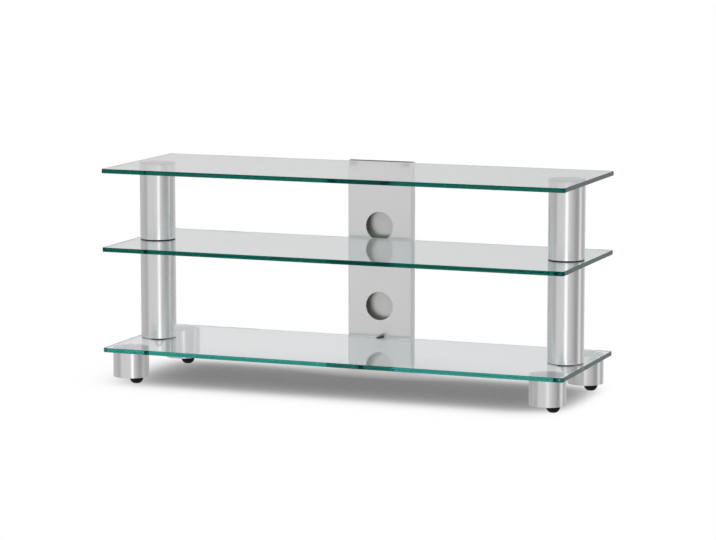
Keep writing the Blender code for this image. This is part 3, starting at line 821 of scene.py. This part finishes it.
# the cover wears the darker copy of the silver paint, as painted shade
makePlate("ductCover", "duct_cover", cover, paintedShadeCoverPaint, "duct_cover")
makePlate("coverStop", "cover_stop", strip, paint)
makePlate("leftBuffer", "duct_left_buffer", strip, rubber)
makePlate("rightBuffer", "duct_right_buffer", strip, rubber)
makePlate("bondStrip", "duct_bond", strip, padGel)
makeClip()
makeClipScrew()
print("duct made")


# Floor: white, with the stand's shadow painted in from occlusion, and open from below
# painted shadow: occlusion within the shadow reach is mapped through the shade ramps into the floor's colour
floor = {"radius": 3.0, "rimSteps": 96, "level": -0.0005, "shadowReach": 0.2, "shadowSamples": 16,
         "lean": (-0.07, -0.36, 1), "bounce": 0.4, "mirroredPaintedShadow": 0.46, "sharpFrom": 0.42, "sharpTo": 0.56,
         "paintedDuctGlow": 0.58, "paintedGlowReach": 0.11, "paintedGlowOval": 0.4,
         "paintedShades": [(0.0, 0.1), (0.16, 0.2), (0.24, 0.25), (0.33, 0.345), (0.42, 0.48), (0.55, 0.67),
                    (0.68, 0.83), (0.8, 0.93), (0.9, 0.985), (1.0, 1.0)],
         "sharpPaintedShades": [(0.0, 0.1), (0.16, 0.2), (0.24, 0.24), (0.32, 0.3), (0.4, 0.5), (0.48, 0.8),
                         (0.56, 0.96), (0.66, 1.0)]}


def paintedFloorShadow(tree, contact):  # what the camera sees of the floor: white, with a painted shadow and a painted glow
    place = objectPlace(tree)
    sharper = between(tree, axesOf(tree, place)["X"], 0.0, 1.0, floor["sharpFrom"], floor["sharpTo"])
    paintedShades = [rampOn(tree, contact, [(stop, grey(level)) for stop, level in floor[key]])
              for key in ("paintedShades", "sharpPaintedShades")]
    shade = blend(tree, sharper, *paintedShades)  # the painted shadow's right end is sharper
    # painted light: a lighter oval round the duct's foot
    ductX, ductY = axisOf("cable_duct")
    oval = calculate(tree, "MULTIPLY_ADD", place, (floor["paintedGlowOval"], 1, 0),
                     (-ductX * floor["paintedGlowOval"], -ductY, 0), kind="VectorMath", output="Vector")
    away = calculate(tree, "LENGTH", oval, kind="VectorMath")
    near = between(tree, away, 0.0, 1.0, floor["paintedGlowReach"], 0.0)
    return blend(tree, near, shade, grey(floor["paintedDuctGlow"]), "LIGHTEN")  # painted light: the floor is lightened round the duct's foot


def makeFloor():
    deselectAll()
    bpy.ops.mesh.primitive_circle_add(
        vertices=floor["rimSteps"], radius=floor["radius"], fill_type="NGON", location=(0, 0, floor["level"]))
    piece = named("floor")
    material = bpy.data.materials.new("studioFloor")
    material.use_nodes = True
    tree = material.node_tree
    tree.nodes.clear()
    link = tree.links.new
    output = tree.nodes.new("ShaderNodeOutputMaterial")
    ray = tree.nodes.new("ShaderNodeLightPath")
    side = tree.nodes.new("ShaderNodeNewGeometry")
    contact = tree.nodes.new("ShaderNodeAmbientOcclusion")
    contact.samples = floor["shadowSamples"]
    contact.inputs["Distance"].default_value = floor["shadowReach"]
    lean = tree.nodes.new("ShaderNodeCombineXYZ")  # the occlusion leans to the front and left, so the painted shadow lies behind and to the right
    for axis, amount in zip("XYZ", floor["lean"]):
        lean.inputs[axis].default_value = amount
    link(lean.outputs["Vector"], contact.inputs["Normal"])
    seen = tree.nodes.new("ShaderNodeEmission")
    link(paintedFloorShadow(tree, contact.outputs["AO"]), seen.inputs["Color"])
    bounce = tree.nodes.new("ShaderNodeBsdfDiffuse")
    bounce.inputs["Color"].default_value = grey(floor["bounce"])
    clear = tree.nodes.new("ShaderNodeBsdfTransparent")
    dark = tree.nodes.new("ShaderNodeEmission")
    dark.inputs["Strength"].default_value = floor["mirroredPaintedShadow"]
    mirroredPaintedShadow = tree.nodes.new("ShaderNodeMixShader")  # in metal and glass, the painted shadow shows dark and the panels show beyond it
    link(contact.outputs["AO"], mirroredPaintedShadow.inputs["Fac"])
    link(dark.outputs["Emission"], mirroredPaintedShadow.inputs[1])
    link(clear.outputs["BSDF"], mirroredPaintedShadow.inputs[2])
    current = bounce.outputs["BSDF"]
    for flag, shader in (
        (ray.outputs["Is Transmission Ray"], mirroredPaintedShadow.outputs["Shader"]),
        (ray.outputs["Is Glossy Ray"], mirroredPaintedShadow.outputs["Shader"]),
        (ray.outputs["Is Camera Ray"], seen.outputs["Emission"]),
        (side.outputs["Backfacing"], clear.outputs["BSDF"]),
    ):
        mix = tree.nodes.new("ShaderNodeMixShader")
        link(flag, mix.inputs["Fac"])
        link(current, mix.inputs[1])
        link(shader, mix.inputs[2])
        current = mix.outputs["Shader"]
    link(current, output.inputs["Surface"])
    piece.data.materials.append(material)
    return piece


floorDisc = makeFloor()


# Studio: white behind, and soft panels all round by their bearing from the camera, left negative
camera = {"target": (0.0031, -0.0138, 0.2685), "azimuth": 21.1126, "elevation": 8.063, "distance": 6.6334,
          "lens": 146.644, "sensor": 36.0}
studio = {"panels": [(-180, 0.66), (-176, 0.68), (-171, 0.67), (-130, 0.6), (-97, 0.58), (-81, 0.5),
                     (-73, 0.5), (-63, 0.76), (-22, 0.76), (-6, 0.78), (12, 0.76), (26, 0.66), (44, 0.52),
                     (56, 0.4), (70, 0.37), (78, 0.5), (86, 0.98), (95, 0.98), (103, 0.6), (112, 0.5),
                     (128, 0.5), (136, 0.72), (142, 0.72), (150, 0.65), (171, 0.625), (176, 0.62), (180, 0.66)],
          "tint": (1.065, 0.945, 0.98), "tintFrom": 175, "throughGlass": 0.86, "ambient": 0.08}


def makeWorld():
    world = bpy.data.worlds.new("studio")
    bpy.context.scene.world = world
    world.use_nodes = True
    tree = world.node_tree
    tree.nodes.clear()
    link = tree.links.new
    place = tree.nodes.new("ShaderNodeTexCoord")
    turned = tree.nodes.new("ShaderNodeVectorRotate")
    turned.rotation_type = "Z_AXIS"
    turned.inputs["Angle"].default_value = math.radians(90 - camera["azimuth"])
    link(place.outputs["Generated"], turned.inputs["Vector"])
    towards = axesOf(tree, turned.outputs["Vector"])
    bearing = calculate(tree, "ARCTAN2", towards["Y"], towards["X"])
    stops = []
    for degrees, level in studio["panels"]:  # the panes mirror a slightly warm background
        tint = studio["tint"] if abs(degrees) > studio["tintFrom"] else (1, 1, 1)
        stops.append(((degrees + 180) / 360, [level * t for t in tint]))
    current = rampOn(tree, between(tree, bearing, 0.0, 1.0, -math.pi, math.pi), stops)
    ray = tree.nodes.new("ShaderNodeLightPath")
    for flag, level in (
        (ray.outputs["Is Diffuse Ray"], studio["ambient"]),
        (ray.outputs["Is Transmission Ray"], studio["throughGlass"]),
        (ray.outputs["Is Camera Ray"], 1.0),
    ):
        current = blend(tree, flag, current, grey(level))
    back = tree.nodes.new("ShaderNodeBackground")
    link(current, back.inputs["Color"])
    output = tree.nodes.new("ShaderNodeOutputWorld")
    link(back.outputs["Background"], output.inputs["Surface"])


def makeCamera():
    azimuth, elevation = math.radians(camera["azimuth"]), math.radians(camera["elevation"])
    back = Vector((math.sin(azimuth) * math.cos(elevation), -math.cos(azimuth) * math.cos(elevation),
                   math.sin(elevation)))
    deselectAll()
    bpy.ops.object.camera_add(location=Vector(camera["target"]) + back * camera["distance"])
    eye = bpy.context.object
    eye.rotation_euler = (-back).to_track_quat("-Z", "Y").to_euler()
    eye.data.lens = camera["lens"]
    eye.data.sensor_width = camera["sensor"]
    bpy.context.scene.camera = eye


lampAim = Vector((0, 0, 0.25))
lamps = [
    {"name": "keyLamp", "place": (-2.4, -6.2, -1.7), "size": (4.0, 2.0), "power": 440, "onMetal": False},
    {"name": "topLamp", "place": (0.3, -0.6, 2.6), "size": (2.2, 2.2), "power": 22, "onMetal": False},
    {"name": "sideLamp", "place": (3.0, 0.5, 0.3), "size": (0.8, 1.2), "power": 45, "onMetal": False},
    {"name": "rearLamp", "place": (0.4, 3.6, 0.9), "size": (2.0, 2.0), "power": 110, "onMetal": False},
    {"name": "stripLamp", "place": (1.54, -3.36, -0.3), "size": (0.97, 3.0), "power": 6, "onMetal": True},
    {"name": "footLamp", "place": (1.54, -3.36, -0.3), "size": (0.97, 3.0), "power": 2.5, "onMetal": True},
]
dimFeet = [bpy.data.objects["footSleeveFrontRight"], bpy.data.objects["footSleeveRearRight"]]


def linkedGroup(name, pieces, state):
    group = bpy.data.collections.new(name)
    for piece in pieces:
        group.objects.link(piece)
    for entry in group.collection_objects:
        entry.light_linking.link_state = state
    return group


def makeLamps():
    for lamp in lamps:
        deselectAll()
        bpy.ops.object.light_add(type="AREA", location=lamp["place"])
        light = bpy.context.object
        light.name = lamp["name"]
        light.data.shape = "RECTANGLE"
        light.data.size, light.data.size_y = lamp["size"]
        light.data.energy = lamp["power"]
        aim = lampAim - Vector(lamp["place"])
        light.rotation_euler = aim.to_track_quat("-Z", "Y").to_euler()
        light.visible_camera = False
        light.visible_transmission = False
        light.visible_glossy = lamp["onMetal"]  # the strip shows in the columns alone
        light.visible_diffuse = not lamp["onMetal"]
        light.light_linking.blocker_collection = linkedGroup(  # lamp light goes straight through clear glass
            lamp["name"] + "PassesThrough", panes + [floorDisc], "EXCLUDE")
        if lamp["onMetal"]:  # the feet at the right show the strip more faintly
            state = "INCLUDE" if lamp["name"] == "footLamp" else "EXCLUDE"
            light.light_linking.receiver_collection = linkedGroup(lamp["name"] + "ShinesOn", dimFeet, state)


makeWorld()
makeLamps()
makeCamera()
bpy.context.scene.view_settings.view_transform = "Standard"
bpy.context.scene.cycles.max_bounces = 32  # light runs many times to and fro inside a pane
bpy.context.scene.cycles.glossy_bounces = 24
bpy.context.scene.cycles.transmission_bounces = 24
print("studio made")
